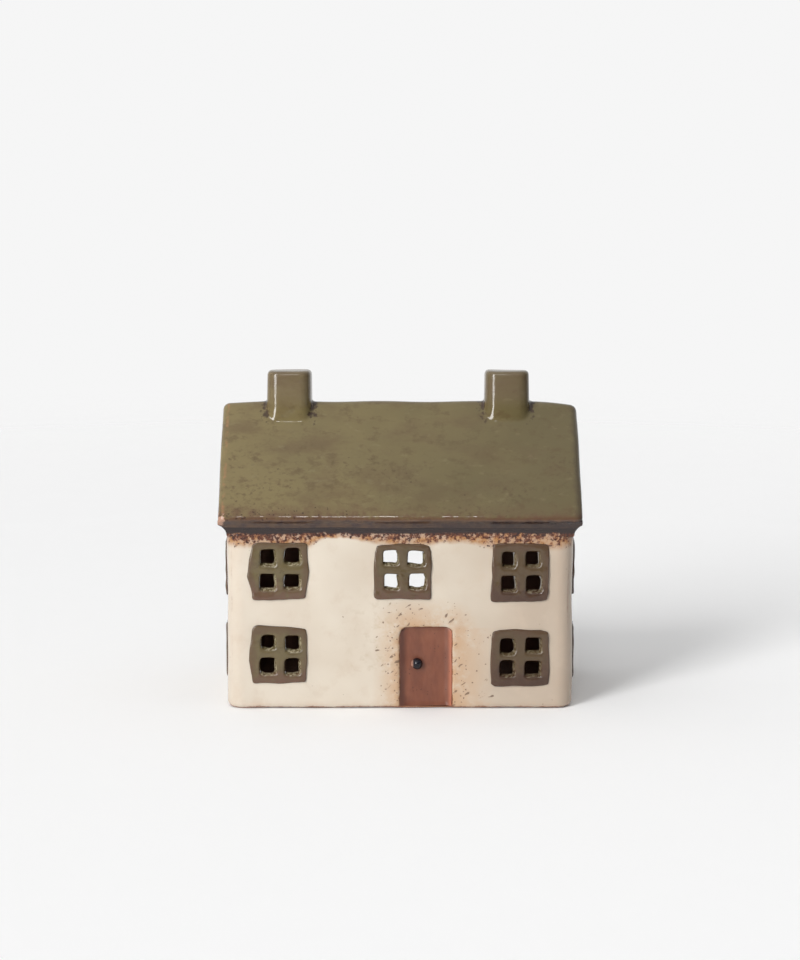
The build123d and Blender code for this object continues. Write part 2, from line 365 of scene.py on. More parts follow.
def hand_cut_outline_tree():
    """A closed curve between a circle and a square, made a little uneven by a seed."""
    labels = ("Width", "Height", "Squareness", "Waviness", "Seed")
    tree, given, result = tree_with_sockets("hand_cut_outline", [(label, "Float") for label in labels])
    circle = add_node(tree, "GeometryNodeCurvePrimitiveCircle", {"Resolution": 96, "Radius": 1.0})
    ring = add_node(tree, "GeometryNodeInputPosition").outputs[0]
    parts = axes(tree, ring)
    power = calc(tree, "DIVIDE", 2.0, given["Squareness"])
    around = add_node(tree, "ShaderNodeCombineXYZ", {0: parts[0], 1: parts[1], 2: given["Seed"]})
    uneven = add_node(tree, "ShaderNodeTexNoise", {"Vector": around.outputs[0], "Scale": 1.7, "Detail": 2.0})
    uneven = calc(tree, "SUBTRACT", uneven.outputs["Fac"], 0.5)
    uneven = times(tree, uneven, given["Waviness"])
    sides = []
    for part, span in ((parts[0], given["Width"]), (parts[1], given["Height"])):
        bent = calc(tree, "POWER", calc(tree, "ABSOLUTE", part), power)
        reach = calc(tree, "MULTIPLY_ADD", bent, times(tree, span, 0.5), uneven)
        sides.append(times(tree, reach, calc(tree, "SIGN", part)))
    moved = add_node(tree, "ShaderNodeCombineXYZ", {0: sides[0], 1: sides[1]}).outputs[0]
    shaped = add_node(tree, "GeometryNodeSetPosition", {"Geometry": circle.outputs[0], "Position": moved})
    tree.links.new(shaped.outputs[0], result.inputs[0])
    return tree


def moved_by(tree, geometry, offset):
    """The geometry shifted by a vector."""
    return add_node(tree, "GeometryNodeTransform", {"Geometry": geometry, "Translation": offset}).outputs[0]


def thick_plate(tree, curves, thickness, start):
    """Fills closed curves, with holes where they nest, and gives the sheet a thickness from start."""
    sheet = add_node(tree, "GeometryNodeFillCurve", {"Curve": curves}, mode="NGONS").outputs[0]
    raised = add_node(
        tree, "GeometryNodeExtrudeMesh", {"Mesh": sheet, "Offset Scale": thickness, "Individual": False}
    )
    back = add_node(tree, "GeometryNodeFlipFaces", {"Mesh": sheet}).outputs[0]
    joined = add_node(tree, "GeometryNodeJoinGeometry")
    tree.links.new(raised.outputs[0], joined.inputs[0])
    tree.links.new(back, joined.inputs[0])
    closed = add_node(tree, "GeometryNodeMergeByDistance", {"Geometry": joined.outputs[0], "Distance": 1e-6})
    lift = add_node(tree, "ShaderNodeCombineXYZ", {2: start}).outputs[0]
    return moved_by(tree, closed.outputs[0], lift)


def pierced_window_tree():
    """One window: a raised frame with four panes cut out, or the four cuts alone for the wall."""
    labels = [("Width", "Float"), ("Height", "Float"), ("Shift", "Vector"), ("Squareness", "Float")]
    labels += [("Waviness", "Float"), ("Seed", "Float"), ("Cuts only", "Bool")]
    labels += [("Thickness", "Float"), ("Start", "Float"), ("Cut margin", "Vector"), ("Cut shift", "Vector")]
    labels += [("Finish", "Material")]
    for number in (1, 2, 3):
        labels += [(f"Bulge {number} place", "Vector"), (f"Bulge {number} height", "Float")]
        labels += [(f"Bulge {number} spread", "Float")]
    for number in (1, 2, 3, 4):
        labels += [(f"Pane {number} place", "Vector"), (f"Pane {number} size", "Vector")]
    tree, given, result = tree_with_sockets("pierced_window", labels)
    cutter = hand_cut_outline_tree()

    def cut_outline(width, height, squareness, waviness, seed):
        """One hand-cut closed curve."""
        inputs = {"Width": width, "Height": height, "Squareness": squareness}
        inputs.update({"Waviness": waviness, "Seed": seed})
        group = tree.nodes.new("GeometryNodeGroup")
        group.node_tree = cutter
        for key, value in inputs.items():
            tree.links.new(value, group.inputs[key])
        return group.outputs[0]

    outer = cut_outline(
        given["Width"], given["Height"], given["Squareness"], given["Waviness"], given["Seed"]
    )
    for number in (1, 2, 3):
        place = add_node(tree, "GeometryNodeInputPosition").outputs[0]
        gap = add_node(
            tree, "ShaderNodeVectorMath", {0: place, 1: given[f"Bulge {number} place"]}, operation="DISTANCE"
        )
        near = calc(tree, "DIVIDE", gap.outputs["Value"], given[f"Bulge {number} spread"])
        near = calc(tree, "POWER", 2.718, times(tree, calc(tree, "POWER", near, 4.0), -1.0))
        swell = times(tree, near, given[f"Bulge {number} height"])
        outward = add_node(tree, "ShaderNodeVectorMath", {0: place}, operation="NORMALIZE").outputs[0]
        offset = add_node(tree, "ShaderNodeVectorMath", {0: outward, "Scale": swell}, operation="SCALE")
        moved = add_node(tree, "GeometryNodeSetPosition", {"Geometry": outer, "Offset": offset.outputs[0]})
        outer = moved.outputs[0]
    outer = moved_by(tree, outer, given["Shift"])
    panes = add_node(tree, "GeometryNodeJoinGeometry")
    for number in (1, 2, 3, 4):
        size = axes(tree, given[f"Pane {number} size"])
        margin = axes(tree, given["Cut margin"])
        width = calc(tree, "ADD", size[0], margin[0])
        height = calc(tree, "ADD", size[1], margin[1])
        waviness = times(tree, given["Waviness"], 0.45)
        seed = calc(tree, "ADD", given["Seed"], number * 3.7)
        pane = cut_outline(width, height, size[2], waviness, seed)
        spot = vector_calc(tree, "ADD", given[f"Pane {number} place"], given["Cut shift"])
        pane = moved_by(tree, pane, spot)
        tree.links.new(pane, panes.inputs[0])
    all_curves = add_node(tree, "GeometryNodeJoinGeometry")
    tree.links.new(outer, all_curves.inputs[0])
    tree.links.new(panes.outputs[0], all_curves.inputs[0])
    frame_plate = thick_plate(tree, all_curves.outputs[0], given["Thickness"], given["Start"])
    cut_plate = thick_plate(tree, panes.outputs[0], given["Thickness"], given["Start"])
    chosen = add_node(
        tree,
        "GeometryNodeSwitch",
        {"Switch": given["Cuts only"], "False": frame_plate, "True": cut_plate},
        input_type="GEOMETRY",
    )
    real = add_node(tree, "GeometryNodeRealizeInstances", {"Geometry": chosen.outputs[0]})
    painted = add_node(
        tree, "GeometryNodeSetMaterial", {"Geometry": real.outputs[0], "Material": given["Finish"]}
    )
    tree.links.new(painted.outputs[0], result.inputs[0])
    return tree


window_tree = pierced_window_tree()


def window_place(name):
    """From a window's own plane, with x across, y up and z out, to its place on the wall."""
    low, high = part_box(name)
    middle = (low + high) / 2
    if "left_gable" in name:
        across, out, middle.x = Vector((0, -1, 0)), Vector((-1, 0, 0)), -half_width
    elif "right_gable" in name:
        across, out, middle.x = Vector((0, 1, 0)), Vector((1, 0, 0)), half_width
    else:
        across, out, middle.y = Vector((1, 0, 0)), Vector((0, -1, 0)), -half_depth
    turn = Matrix((across, Vector((0, 0, 1)), out)).transposed().to_4x4()
    return Matrix.Translation(middle) @ turn


def cut_window(name, finish, cuts_only, thickness, start, margin, shift, finishing=()):
    """Runs the window tree for one window and sets the mesh in its place."""
    shift_x, shift_y, width, height, *bulges = frame_cuts[window_patterns[name]]
    piece = loose_object(name + "_draft")
    modifier = piece.modifiers.new("pierced_window", "NODES")
    modifier.node_group = window_tree
    values = {
        "Width": width * MM,
        "Height": height * MM,
        "Shift": (shift_x * MM, shift_y * MM, 0.0),
        "Squareness": 17.0,
        "Waviness": 0.8 * MM,
        "Seed": 1.0 + 7.3 * sorted(window_patterns).index(name),
        "Cuts only": cuts_only,
        "Thickness": thickness,
        "Start": start,
        "Cut margin": (margin[0] * MM, margin[1] * MM, 0.0),
        "Cut shift": (shift[0] * MM, shift[1] * MM, 0.0),
        "Finish": finish,
    }
    for number, (across, up, rise, spread) in enumerate(bulges, 1):
        values[f"Bulge {number} place"] = (across * MM, up * MM, 0.0)
        values[f"Bulge {number} height"] = rise * MM
        values[f"Bulge {number} spread"] = spread * MM
    for number, (across, up, wide, high, squareness) in enumerate(pane_cuts[window_patterns[name]], 1):
        values[f"Pane {number} place"] = (across * MM, up * MM, 0.0)
        values[f"Pane {number} size"] = (wide * MM, high * MM, squareness)
    for item in window_tree.interface.items_tree:
        if item.in_out == "INPUT":
            modifier[item.identifier] = values[item.name]
    for kind, settings in finishing:
        extra = piece.modifiers.new(kind.lower(), kind)
        for key, value in settings.items():
            setattr(extra, key, value)
    mesh = evaluated_mesh(piece)
    mesh.transform(window_place(name))
    return mesh


def cut_away(shape, point, normal):
    """Cuts a closed shape by a plane, drops the side that the normal points to and closes the cut."""
    everything = shape.verts[:] + shape.edges[:] + shape.faces[:]
    bmesh.ops.bisect_plane(
        shape, geom=everything, plane_co=point, plane_no=normal, clear_outer=True, dist=1e-7
    )
    open_edges = [edge for edge in shape.edges if edge.is_boundary]
    for edge in open_edges:
        edge.smooth = False
    filled = bmesh.ops.holes_fill(shape, edges=open_edges, sides=0)
    bmesh.ops.triangulate(shape, faces=filled["faces"])


def keep_mark(mesh, name, values):
    """Stores one number for each point, for the materials to read."""
    mark = mesh.attributes.new(name, "FLOAT", "POINT")
    mark.data.foreach_set("value", np.asarray(values, dtype=np.float32))


def stored(tree, name):
    """The number that the mesh keeps at each point under a name."""
    return add_node(tree, "ShaderNodeAttribute", attribute_name=name).outputs["Fac"]


def slanted(tree, place, angle):
    """The same point turned and drawn out, so that specks come out as short slanting strokes."""
    inputs = {"Vector": place, "Angle": angle}
    turned = add_node(tree, "ShaderNodeVectorRotate", inputs, rotation_type="Y_AXIS")
    return stretched(tree, turned.outputs[0], 0.42, 0.55, 1.25)


def run_depth(tree, across):
    """How deep the burnt edge is along the length of the wall, from 0 to 1."""
    share = calc(tree, "MULTIPLY_ADD", across, 1 / 130, 0.5)
    curve = add_node(tree, "ShaderNodeFloatCurve", {"Value": share})
    line = curve.mapping.curves[0]
    line.points[0].location = (0.0, 0.8)
    line.points[1].location = (1.0, 0.6)
    spots = ((0.1, 0.7), (0.2, 0.9), (0.28, 0.3), (0.33, 0.05))
    spots += ((0.4, 0.35), (0.55, 0.6), (0.66, 0.35), (0.8, 0.9))
    for spot, depth in spots:
        line.points.new(spot, depth)
    curve.mapping.update()
    return curve.outputs[0]


def cream_glaze():
    """Glossy cream glaze over dark clay, with all that the fire has done to it, and painted shade toward the
    right end and at the far left corner.
    """
    finish, tree, shader = new_finish("cream_glaze")
    place = place_mm(tree)
    x, y, z = axes(tree, place)
    broad = cloud(tree, place, 26.0, 2.0)
    ragged = cloud(tree, place, 3.2, 4.0, 0.65)
    fine = cloud(tree, place, 0.9, 3.0, 0.6)
    patchy = cloud(tree, stretched(tree, place, 1.0, 1.0, 0.5), 11.0, 2.0)

    # Cream, a little pinker or greyer in broad clouds, with painted shade: darker from left to right, most
    # at the right end, and a little darker at the far left corner
    tone = blend_colour(tree, fade(tree, broad, 0.35, 0.68), srgb(205, 195, 180), srgb(198, 186, 170))
    # Painted shade: the cream darkens from left to right, most at the right end
    painted_shade_rightward = fade(tree, swayed(tree, x, broad, 50.0), -60.0, 75.0)
    tone = tint(tree, tone, painted_shade_rightward, 0.8, (184, 171, 154))
    painted_shade_right_end = fade(tree, swayed(tree, x, broad, 30.0), 5.0, 66.0)
    tone = tint(tree, tone, painted_shade_right_end, 0.52, (156, 135, 117))
    # Painted shade: a little darker at the far left corner
    painted_shade_left_end = times(tree, fade(tree, x, -54.0, -61.0), 0.35)
    tone = blend_colour(tree, painted_shade_left_end, tone, srgb(182, 168, 152))
    mottle = fade(tree, cloud(tree, place, 6.0, 4.0, 0.6), 0.5, 0.75)
    tone = tint(tree, tone, mottle, 0.35, (186, 168, 149))

    # Thin glaze shows tan on the sponged edges
    worn = stored(tree, "edge")
    worn = times(tree, worn, fade(tree, ragged, 0.25, 0.75))
    tone = blend_colour(tree, calc(tree, "MULTIPLY", worn, 0.6, clamp=True), tone, srgb(186, 154, 130))

    # Ochre stain round the door, grey smudges to the left of it, and a brown line along its edge
    around_door = stored(tree, "door_halo")
    uneven = calc(tree, "MULTIPLY_ADD", patchy, 0.5, times(tree, ragged, 0.5))
    stain = times(tree, around_door, fade(tree, uneven, 0.28, 0.56))
    tone = tint(tree, tone, stain, 0.95, (180, 146, 112))
    smudge = stored(tree, "smudge")
    smudge = times(tree, smudge, fade(tree, cloud(tree, place, 3.4, 4.0, 0.65), 0.5, 0.68))
    tone = tint(tree, tone, smudge, 0.5, (170, 152, 126))
    rim = stored(tree, "door_edge")
    rim = fade(tree, swayed(tree, rim, ragged, 1.8), 0.4, 0.95)
    tone = tint(tree, tone, rim, 0.8, (122, 74, 50))

    # How far down the burnt edge of the roof's dark glaze reaches: 0 where the cove ends,
    # 1 at its last crumbs
    from_middle = calc(tree, "ABSOLUTE", y)
    to_face = calc(tree, "SUBTRACT", half_depth / MM, from_middle)
    at_corner = times(tree, to_face, fade(tree, from_middle, 25.0, 31.0))
    up_slope = calc(tree, "ADD", calc(tree, "ADD", from_middle, at_corner), z)
    below = calc(tree, "SUBTRACT", gable_top / MM, up_slope)
    below = swayed(tree, below, cloud(tree, place, 8.0, 2.0), 2.0)
    reach = calc(tree, "MULTIPLY_ADD", run_depth(tree, x), 3.8, 1.0)
    past_cove = calc(tree, "SUBTRACT", swayed(tree, below, ragged, 1.4), 3.8)
    burnt = calc(tree, "DIVIDE", past_cove, reach)

    # Iron specks and strokes: loose round the door and below the eaves, rare elsewhere
    near_run = times(tree, fade(tree, burnt, 1.7, 0.9), 0.3)
    loose = times(tree, stain, 0.5)
    chance = calc(tree, "ADD", calc(tree, "MAXIMUM", near_run, loose), 0.004)
    dots = specks(tree, slanted(tree, place, 0.7), 1.7, 0.14, 0.48, times(tree, chance, 0.6))
    level_dots = specks(tree, slanted(tree, place, 0.15), 1.5, 0.14, 0.44, times(tree, loose, 0.3))
    dots = calc(tree, "MAXIMUM", dots, level_dots)
    crumbs = specks(tree, place, 0.8, 0.2, 0.5, times(tree, chance, 0.6))
    iron = calc(tree, "MAXIMUM", dots, crumbs)
    tone = tint(tree, tone, iron, 0.8, (88, 60, 42))

    # Gold and rust between dark red-brown lace, then the dark glaze that fills the cove
    lace = calc(tree, "MULTIPLY_ADD", cloud(tree, place, 1.2, 3.0, 0.65), 4.0, -1.5)
    limit = calc(tree, "MULTIPLY_ADD", burnt, 0.72, 0.3)
    lace = calc(tree, "SUBTRACT", lace, limit)
    golden = blend_colour(tree, fade(tree, lace, -0.5, -0.08), srgb(160, 112, 60), srgb(112, 58, 28))
    patches = calc(tree, "MULTIPLY_ADD", fade(tree, cloud(tree, place, 2.4), 0.36, 0.56), 0.35, 0.65)
    gilt = times(tree, fade(tree, burnt, 1.6, 0.7), patches)
    tone = blend_colour(tree, times(tree, gilt, 0.95), tone, golden)
    run = calc(tree, "MAXIMUM", fade(tree, lace, -0.08, 0.1), fade(tree, below, 4.0, 3.2))
    scorched = blend_colour(tree, fade(tree, fine, 0.4, 0.62), srgb(46, 24, 18), srgb(92, 50, 30))
    dark = blend_colour(tree, fade(tree, below, 4.1, 3.1), scorched, srgb(41, 30, 28))
    tone = blend_colour(tree, run, tone, dark)
    iron = times(tree, iron, calc(tree, "SUBTRACT", 1.0, run))

    # Brown line where the glaze was wiped off the foot
    foot = fade(tree, swayed(tree, z, ragged, -2.4), 1.1, 0.3)
    tone = tint(tree, tone, foot, 0.9, (128, 88, 68))

    # Olive glaze round the panes, bare clay inside the house
    pane = stored(tree, "pane")
    tone = blend_colour(tree, pane, tone, srgb(104, 90, 66))
    inside = stored(tree, "inside")
    inside = fade(tree, calc(tree, "ADD", inside, times(tree, ragged, 0.3)), 0.55, 0.75)
    raw = blend_colour(tree, cloud(tree, place, 7.0), srgb(104, 74, 60), srgb(136, 100, 80))
    tone = blend_colour(tree, inside, tone, raw)
    tree.links.new(tone, shader.inputs["Base Color"])

    gloss = calc(tree, "MULTIPLY_ADD", inside, 0.6, 0.1)
    gloss = calc(tree, "ADD", gloss, times(tree, iron, 0.25))
    tree.links.new(gloss, shader.inputs["Roughness"])
    ripple = calc(tree, "SUBTRACT", cloud(tree, place, 4.5, 2.0), times(tree, iron, 0.25))
    surface_ripple(tree, shader, ripple, 0.12)
    return finish


def add_cut(piece, operation, knife):
    """Adds a cut by a closed knife to a piece, made when its modifiers are applied."""
    cutting = piece.modifiers.new("cut", "BOOLEAN")
    cutting.operation = operation
    cutting.solver = "EXACT"
    cutting.object = knife


wall_finish = cream_glaze()
wall_names = ("front_wall", "back_wall", "left_gable", "right_gable")
ring = joined_copy("wall_ring", [cad_nodes[name].data for name in wall_names])
wall_inside = half_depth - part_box("floor_slab")[1].y
pane_knife = joined_copy(
    "pane_knife",
    [
        cut_window(name, None, True, wall_inside + 4 * MM, -wall_inside - 2 * MM, (0.9, 0.3), (0.35, -0.05))
        for name in window_patterns
    ],
)
add_cut(ring, "DIFFERENCE", pane_knife)
ring_mesh = sponged(ring, clay_voxel, 5)
bpy.data.objects.remove(pane_knife)
hand_wobble(ring_mesh, 0.16 * MM, 26 * MM, 11)
ring_points = mesh_points(ring_mesh)
ring_points[:, 2] = np.maximum(ring_points[:, 2], 0.0)
set_points(ring_mesh, ring_points)


def edge_wear(mesh, passes=3):
    """How far each point stands out from its neighbours, 0 on flats and 1 on sharp outer edges."""
    points = mesh_points(mesh)
    ends = np.zeros(len(mesh.edges) * 2, dtype=np.int64)
    mesh.edges.foreach_get("vertices", ends)
    ends = ends.reshape(-1, 2)
    count = np.bincount(ends.ravel(), minlength=len(points)).clip(1)

    def near_mean(values):
        """The mean of each point's neighbours."""
        total = np.zeros_like(values)
        np.add.at(total, ends[:, 0], values[ends[:, 1]])
        np.add.at(total, ends[:, 1], values[ends[:, 0]])
        return total / (count[:, None] if values.ndim == 2 else count)

    spread = points
    for _ in range(passes):
        spread = near_mean(spread)
    rise = ((points - spread) * mesh_points(mesh, "normal")).sum(axis=1)
    for _ in range(passes):
        rise = near_mean(rise)
    return (rise / (0.12 * MM)).clip(0, 1)


def door_marks(points):
    """The stain round the door, smudges further to its left, and a narrow line along its edge."""
    low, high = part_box("front_door")
    corner = 2.6 * MM
    across = np.abs(points[:, 0] - (low.x + high.x) / 2) - (high.x - low.x) / 2 + corner
    above = points[:, 2] - high.z + corner
    gap = np.hypot(across.clip(0), above.clip(0)) + np.maximum(across, above).clip(None, 0) - corner
    reach = np.where(points[:, 0] > high.x, 15 * MM, 10 * MM)
    reach = np.where(above > corner, 11 * MM, reach)
    front = points[:, 1] < -half_depth + 2 * MM
    stain = (1 - gap / reach).clip(0, 1) * front
    smudge = (1 - gap / (26 * MM)).clip(0, 1) * front * (points[:, 0] < low.x) * (points[:, 2] > 14 * MM)
    return stain, smudge, (1 - gap / (0.9 * MM)).clip(0, 1) * front


def pane_sides(points):
    """1 on the cut sides of the panes, behind the frames."""
    marks = np.zeros(len(points))
    for name in window_patterns:
        low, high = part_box(name)
        margin = 1.2 * MM
        depth = 4.0 * MM
        low = Vector(low) + Vector((margin, margin, margin))
        high = Vector(high) - Vector((margin, margin, margin))
        if "gable" in name:
            within = (np.abs(points[:, 0]) > half_width - depth) & (points[:, 0] * low.x > 0)
            within &= (points[:, 1] > low.y) & (points[:, 1] < high.y)
        else:
            within = (points[:, 1] < -half_depth + depth) & (points[:, 0] > low.x) & (points[:, 0] < high.x)
        marks[within & (points[:, 2] > low.z) & (points[:, 2] < high.z)] = 1
    return marks


def mark_wall(mesh):
    """Stores what the cream glaze reads: edges, the door's halo, pane sides and the inside."""
    points = mesh_points(mesh)
    keep_mark(mesh, "edge", edge_wear(mesh))
    stain, smudge, line = door_marks(points)
    keep_mark(mesh, "door_halo", stain)
    keep_mark(mesh, "smudge", smudge)
    keep_mark(mesh, "door_edge", line)
    keep_mark(mesh, "pane", pane_sides(points))
    depth_x = half_width - np.abs(points[:, 0])
    depth_y = half_depth - np.abs(points[:, 1])
    keep_mark(mesh, "inside", (np.minimum(depth_x, depth_y) / (4 * MM)).clip(0, 1))


mark_wall(ring_mesh)
corner_x = half_width - half_depth
mitres = {
    "front_wall": ((corner_x, (1, 1, 0)), (-corner_x, (-1, 1, 0))),
    "back_wall": ((corner_x, (1, -1, 0)), (-corner_x, (-1, -1, 0))),
    "left_gable": ((-corner_x, (1, 1, 0)), (-corner_x, (1, -1, 0))),
    "right_gable": ((corner_x, (-1, 1, 0)), (corner_x, (-1, -1, 0))),
}


def mitre_cuts(wall):
    """The two planes that part a wall, or the coil along it, from its neighbours."""
    return [(Vector((across, 0, 0)), Vector(normal).normalized()) for across, normal in mitres[wall]]


def cut_piece(mesh, name, cuts):
    """What is left of a closed mesh after some planar cuts, as a new closed mesh."""
    shape = bmesh.new()
    shape.from_mesh(mesh)
    for point, normal in cuts:
        cut_away(shape, point, normal)
    return mesh_from(shape, name)


for name in wall_names:
    wall_mesh = cut_piece(ring_mesh, name + "_glazed", mitre_cuts(name))
    finished_piece(name + "_glazed", wall_mesh, wall_finish)


# Windows
# Thin squares of clay pressed on to the wet walls and pierced with a knife, wall and all,
# so no two are alike. Olive glaze pools on them and breaks to purple-brown at the edges.

frame_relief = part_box("upper_left_window")[1].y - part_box("upper_left_window")[0].y
frame_seat = 2.0 * MM
frame_depth = frame_relief + frame_seat


def olive_tone(tree, place):
    """Olive glaze with brown streaks that lie level and dark specks, with painted shade that darkens it
    toward the right; returns its colour and the specks.
    """
    level = stretched(tree, place, 0.4, 0.4, 1.0)
    broad = cloud(tree, place, 24.0, 2.0)
    across, _, height = axes(tree, place)
    # Painted shade: the olive darkens from left to right
    painted_shade_to_right = fade(tree, swayed(tree, across, broad, 90.0), -75.0, 70.0)
    tone = blend_colour(tree, painted_shade_to_right, srgb(114, 101, 67), srgb(90, 80, 52))
    streaks = fade(tree, cloud(tree, level, 8.0, 4.0, 0.6), 0.45, 0.75)
    tone = tint(tree, tone, streaks, 0.55, (86, 67, 46))
    pale = fade(tree, cloud(tree, stretched(tree, place, 0.6, 0.6, 1.3), 3.0, 3.0), 0.58, 0.78)
    tone = tint(tree, tone, pale, 0.32, (120, 111, 80))
    mottle = fade(tree, cloud(tree, stretched(tree, place, 0.6, 0.6, 1.0), 3.2, 4.0, 0.65), 0.5, 0.7)
    tone = tint(tree, tone, mottle, 0.5, (82, 65, 42))
    cluster = fade(tree, cloud(tree, level, 13.0, 2.0), 0.42, 0.7)
    cluster = times(tree, cluster, fade(tree, height, 102.0, 84.0))
    grain = fade(tree, cloud(tree, stretched(tree, place, 0.7, 0.7, 1.0), 1.4, 3.0), 0.52, 0.7)
    tone = tint(tree, tone, times(tree, grain, cluster), 0.6, (72, 54, 37))
    dots = specks(tree, place, 1.6, 0.14, 0.4, times(tree, cluster, 0.06))
    tone = tint(tree, tone, dots, 0.5, (62, 46, 33))
    return tone, dots


def window_glaze():
    """Olive glaze that breaks to purple-brown on the sides of the frames and at their lower edges, with
    painted shade toward the right and in the crease against the wall, and painted glints on the lower and
    right sides of the panes.
    """
    finish, tree, shader = new_finish("window_glaze")
    place = place_mm(tree)
    tone, _ = olive_tone(tree, place)
    ragged = cloud(tree, place, 2.0, 3.0, 0.6)
    across = axes(tree, place)[0]
    tone = blend_colour(tree, 0.5, tone, srgb(77, 66, 47))
    rim = stored(tree, "rim")
    rim = fade(tree, swayed(tree, rim, cloud(tree, place, 6.0, 3.0), 0.6), 0.72, 1.0)
    tone = tint(tree, tone, rim, 0.55, (86, 62, 49))
    low = stored(tree, "low")
    low = fade(tree, swayed(tree, low, ragged, 0.9), 0.55, 1.0)
    tone = tint(tree, tone, low, 0.64, (95, 67, 56))
    shaded = fade(tree, across, -45.0, 50.0)
    tone = tint(tree, tone, shaded, 0.5, (70, 46, 32))
    low_shade = times(tree, low, fade(tree, across, 10.0, 45.0))
    tone = tint(tree, tone, low_shade, 0.5, (40, 24, 16))
    # Painted glints: pale spots on the lower and right sides of the panes, fewer toward the right
    sill = stored(tree, "sill")
    glint_flecks = fade(tree, cloud(tree, place, 0.9, 3.0, 0.6), 0.42, 0.6)
    sill = times(tree, fade(tree, sill, 0.5, 0.95), glint_flecks)
    less_right = times(tree, fade(tree, across, -20.0, 40.0), 0.5)
    sill = times(tree, sill, calc(tree, "SUBTRACT", 0.8, less_right))
    tone = blend_colour(tree, sill, tone, srgb(174, 164, 136))
    # The foot of the frame sides against the wall: dark glaze and painted shade in the crease
    side = stored(tree, "side")
    side = fade(tree, swayed(tree, side, ragged, 0.5), 0.35, 0.7)
    tone = tint(tree, tone, side, 0.85, (60, 43, 37))
    set_inputs(tree, shader, {"Base Color": tone, "Roughness": 0.07})
    surface_ripple(tree, shader, cloud(tree, place, 2.2, 2.0), 0.22)
    return finish


window_finish = window_glaze()
pane_margin = (1.4, 0.4)
pane_shift = (0.45, -0.1)
half_frame = 10.2 * MM


def funnel_panes(name, own):
    """Draws the panes in toward the back, most at the bottom and the right, and marks those two sides, where
    pale glints are painted.
    """
    depth = ((frame_relief - own[:, 2]) / frame_depth).clip(0, 1) ** 0.7
    shaped = own.copy()
    lip = np.zeros(len(own))
    for across, up, wide, high, _ in pane_cuts[window_patterns[name]]:
        half_wide = (wide + pane_margin[0]) * MM / 2
        half_high = (high + pane_margin[1]) * MM / 2
        from_x = own[:, 0] - (across + pane_shift[0]) * MM
        from_y = own[:, 1] - (up + pane_shift[1]) * MM
        in_x = (1 - (np.abs(from_x) - half_wide) / (0.9 * MM)).clip(0, 1)
        in_y = (1 - (np.abs(from_y) - half_high) / (0.9 * MM)).clip(0, 1)
        near = depth * in_x * in_y
        side = (from_x / half_wide).clip(-1, 1) ** 3
        level = (from_y / half_high).clip(-1, 1) ** 3
        shaped[:, 0] -= near * MM * side * np.where(side > 0, 1.35, 0.45)
        shaped[:, 1] -= near * MM * level * np.where(level < 0, 1.35, 0.45)
        lip = np.maximum(lip, in_x * in_y * np.maximum(side, -level).clip(0, 1) * (depth > 0.25))
    return shaped, lip


for number, name in enumerate(sorted(window_patterns)):
    finger_soft = (
        ("REMESH", {"mode": "VOXEL", "voxel_size": (0.32 if "gable" in name else 0.24) * MM}),
        ("SMOOTH", {"factor": 0.5, "iterations": 22}),
    )
    frame_mesh = cut_window(
        name, window_finish, False, frame_depth, -frame_seat, pane_margin, pane_shift, finger_soft
    )
    hand_wobble(frame_mesh, 0.1 * MM, 7 * MM, 100 + number)
    onto_wall = window_place(name)
    own = mesh_points(frame_mesh) - np.array(onto_wall.translation)
    own = own @ np.array(onto_wall.to_3x3())
    own[:, 2] *= np.where(own[:, 2] > 0, frame_relief / np.percentile(own[:, 2], 99), 1.0)
    own, lip = funnel_panes(name, own)
    set_points(frame_mesh, own @ np.array(onto_wall.to_3x3()).T + np.array(onto_wall.translation))
    rim = np.maximum(np.abs(own[:, 0]), np.abs(own[:, 1])) / half_frame
    keep_mark(frame_mesh, "side", (1 - own[:, 2] / frame_relief).clip(0, 1) * (rim > 0.86))
    keep_mark(frame_mesh, "rim", rim)
    # Where the pale glints are painted
    keep_mark(frame_mesh, "sill", lip)
    keep_mark(frame_mesh, "low", (0.5 - own[:, 1] / (20 * MM)).clip(0, 1))
    finished_piece(name + "_glazed", frame_mesh, window_finish)


# Door
# A panel of clay set back into a pocket of the front wall, brushed with terracotta glaze.
# It doesn't open. Glaze from the wall has run a little over its edges.

def door_glaze():
    """Terracotta glaze with a paler bloom and small pits, with painted light on the right side of the door
    and painted shade on its left side.
    """
    finish, tree, shader = new_finish("door_glaze")
    place = place_mm(tree)
    brushed = stretched(tree, place, 1.0, 1.0, 0.35)
    streaks = fade(tree, cloud(tree, brushed, 4.0, 4.0), 0.35, 0.7)
    tone = blend_colour(tree, streaks, srgb(117, 68, 48), srgb(100, 56, 40))
    bloom = fade(tree, cloud(tree, place, 7.0, 2.0), 0.5, 0.75)
    tone = tint(tree, tone, bloom, 0.3, (134, 88, 66))
    lip = stored(tree, "lip")
    # Painted light on the right side of the door and painted shade on its left side
    tone = tint(tree, tone, fade(tree, lip, 0.35, 0.95), 0.7, (178, 108, 80))
    tone = tint(tree, tone, fade(tree, lip, -0.05, -0.8), 0.6, (72, 38, 29))
    pits = specks(tree, place, 1.3, 0.12, 0.34, 0.22)
    tone = tint(tree, tone, pits, 0.7, (64, 36, 28))
    set_inputs(tree, shader, {"Base Color": tone, "Roughness": 0.3})
    surface_ripple(tree, shader, cloud(tree, brushed, 2.0, 3.0), 0.12)
    return finish


